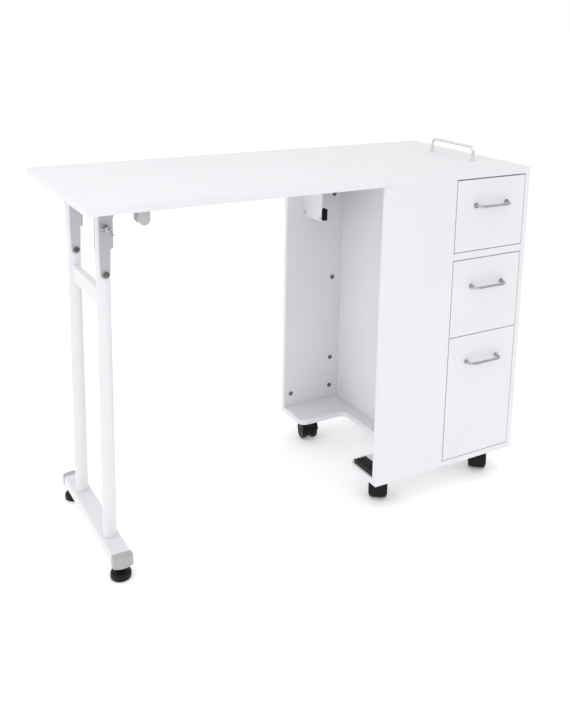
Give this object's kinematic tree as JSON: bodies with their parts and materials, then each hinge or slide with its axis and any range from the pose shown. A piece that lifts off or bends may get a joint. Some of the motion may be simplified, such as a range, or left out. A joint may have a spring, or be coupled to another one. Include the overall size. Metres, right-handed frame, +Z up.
{
  "type": "folding work table",
  "caption": "White rolling drawer cabinet with a long side leaf carried by a folding leg frame, grab rail and twin-wheel casters.",
  "frame": {"origin": "on the floor, under the centre of the box over the whole table with its drawer handles", "axes": "+Z up, +X from the leg frame to the cabinet, -Y the side of the drawers"},
  "size_m": [1.057, 0.474, 0.816],
  "materials": {
    "white_board": "white melamine-faced board, satin",
    "white_steel": "white powder coat",
    "grey_steel": "light grey coat",
    "grey_plastic": "light grey moulded",
    "chrome": "polished",
    "zinc_steel": "zinc plated",
    "dark_steel": "dark plated",
    "black_plastic": "black moulded",
    "black_rubber": "matt black"
  },
  "bodies": {
    "table": {"leaf_board": "white_board", "leaf_hinge_plates": "zinc_steel", "leaf_hinge_pins": "zinc_steel", "leg_bracket_front": "grey_steel", "leg_bracket_rear": "grey_steel", "bracket_screws": "zinc_steel", "leaf_latch_clip": "grey_steel", "leg_stop_plate": "white_steel", "stop_plate_screws": "dark_steel", "leg_stop_pad": "black_rubber", "ribbed_block": "black_plastic", "cabinet_top": "white_board", "front_panel": "white_board", "rear_panel": "white_board", "partition_panel": "white_board", "right_side_panel": "white_board", "bottom_board": "white_board", "drawer_rail": "white_board", "cabinet_screws": "dark_steel", "grab_rail": "chrome", "top_hinge_plates": "zinc_steel", "slide_channels": "zinc_steel", "slide_packers": "white_board", "caster_mounts": "black_plastic"},
    "leg_frame": {"leg_tube_front": "white_steel", "leg_tube_rear": "white_steel", "leg_crossbar": "white_steel", "foot_rail": "white_steel", "foot_end_caps": "grey_plastic", "leg_pivot_bolts": "chrome"},
    "lock_front": {"lock_plunger_front": "chrome"},
    "lock_rear": {"lock_plunger_rear": "chrome"},
    "glide_front": {"glide_front": "black_plastic"},
    "glide_rear": {"glide_rear": "black_plastic"},
    "drawer_1": {"drawer_1_front": "white_board", "drawer_1_box": "white_board", "drawer_1_bottom": "white_board", "drawer_1_handle": "chrome", "drawer_1_runners": "zinc_steel"},
    "drawer_2": {"drawer_2_front": "white_board", "drawer_2_box": "white_board", "drawer_2_bottom": "white_board", "drawer_2_handle": "chrome", "drawer_2_runners": "zinc_steel"},
    "drawer_3": {"drawer_3_front": "white_board", "drawer_3_box": "white_board", "drawer_3_bottom": "white_board", "drawer_3_handle": "chrome", "drawer_3_runners": "zinc_steel"},
    "caster_fl": {"caster_housing_fl": "black_plastic"},
    "wheels_fl": {"caster_wheels_fl": "black_plastic"},
    "caster_fr": {"caster_housing_fr": "black_plastic"},
    "wheels_fr": {"caster_wheels_fr": "black_plastic"},
    "caster_rl": {"caster_housing_rl": "black_plastic"},
    "wheels_rl": {"caster_wheels_rl": "black_plastic"},
    "caster_rr": {"caster_housing_rr": "black_plastic"},
    "wheels_rr": {"caster_wheels_rr": "black_plastic"}
  },
  "joints": [
    {"name": "leg_fold", "type": "hinge", "parent": "table", "child": "leg_frame", "pos_m": [-0.4635, 0.012, 0.622], "axis": [0, -1, 0], "range_deg": [0, 90]},
    {"name": "lock_pull_front", "type": "slide", "parent": "table", "child": "lock_front", "axis": [0, -1, 0], "range_m": [0, 0.006], "stiffness_N_per_m": 300},
    {"name": "lock_pull_rear", "type": "slide", "parent": "table", "child": "lock_rear", "axis": [0, 1, 0], "range_m": [0, 0.006], "stiffness_N_per_m": 300},
    {"name": "glide_turn_front", "type": "hinge", "parent": "leg_frame", "child": "glide_front", "pos_m": [-0.4635, -0.154, 0.01], "axis": [0, 0, 1], "continuous": true},
    {"name": "glide_turn_rear", "type": "hinge", "parent": "leg_frame", "child": "glide_rear", "pos_m": [-0.4635, 0.178, 0.01], "axis": [0, 0, 1], "continuous": true},
    {"name": "drawer_1_slide", "type": "slide", "parent": "table", "child": "drawer_1", "axis": [0, -1, 0], "range_m": [0, 0.27]},
    {"name": "drawer_2_slide", "type": "slide", "parent": "table", "child": "drawer_2", "axis": [0, -1, 0], "range_m": [0, 0.27]},
    {"name": "drawer_3_slide", "type": "slide", "parent": "table", "child": "drawer_3", "axis": [0, -1, 0], "range_m": [0, 0.27]},
    {"name": "swivel_fl", "type": "hinge", "parent": "table", "child": "caster_fl", "pos_m": [0.1595, -0.165, 0.055], "axis": [0, 0, 1], "continuous": true},
    {"name": "roll_fl", "type": "hinge", "parent": "caster_fl", "child": "wheels_fl", "pos_m": [0.16832, -0.15286, 0.024], "axis": [0.809, -0.5878, 0], "continuous": true},
    {"name": "swivel_fr", "type": "hinge", "parent": "table", "child": "caster_fr", "pos_m": [0.4605, -0.17, 0.055], "axis": [0, 0, 1], "continuous": true},
    {"name": "roll_fr", "type": "hinge", "parent": "caster_fr", "child": "wheels_fr", "pos_m": [0.46994, -0.15834, 0.024], "axis": [0.7771, -0.6293, 0], "continuous": true},
    {"name": "swivel_rl", "type": "hinge", "parent": "table", "child": "caster_rl", "pos_m": [0.1655, 0.164, 0.055], "axis": [0, 0, 1], "continuous": true},
    {"name": "roll_rl", "type": "hinge", "parent": "caster_rl", "child": "wheels_rl", "pos_m": [0.16862, 0.17867, 0.024], "axis": [0.9781, -0.2079, 0], "continuous": true},
    {"name": "swivel_rr", "type": "hinge", "parent": "table", "child": "caster_rr", "pos_m": [0.4695, 0.164, 0.055], "axis": [0, 0, 1], "continuous": true},
    {"name": "roll_rr", "type": "hinge", "parent": "caster_rr", "child": "wheels_rr", "pos_m": [0.4695, 0.179, 0.024], "axis": [1, 0, 0], "continuous": true}
  ]
}
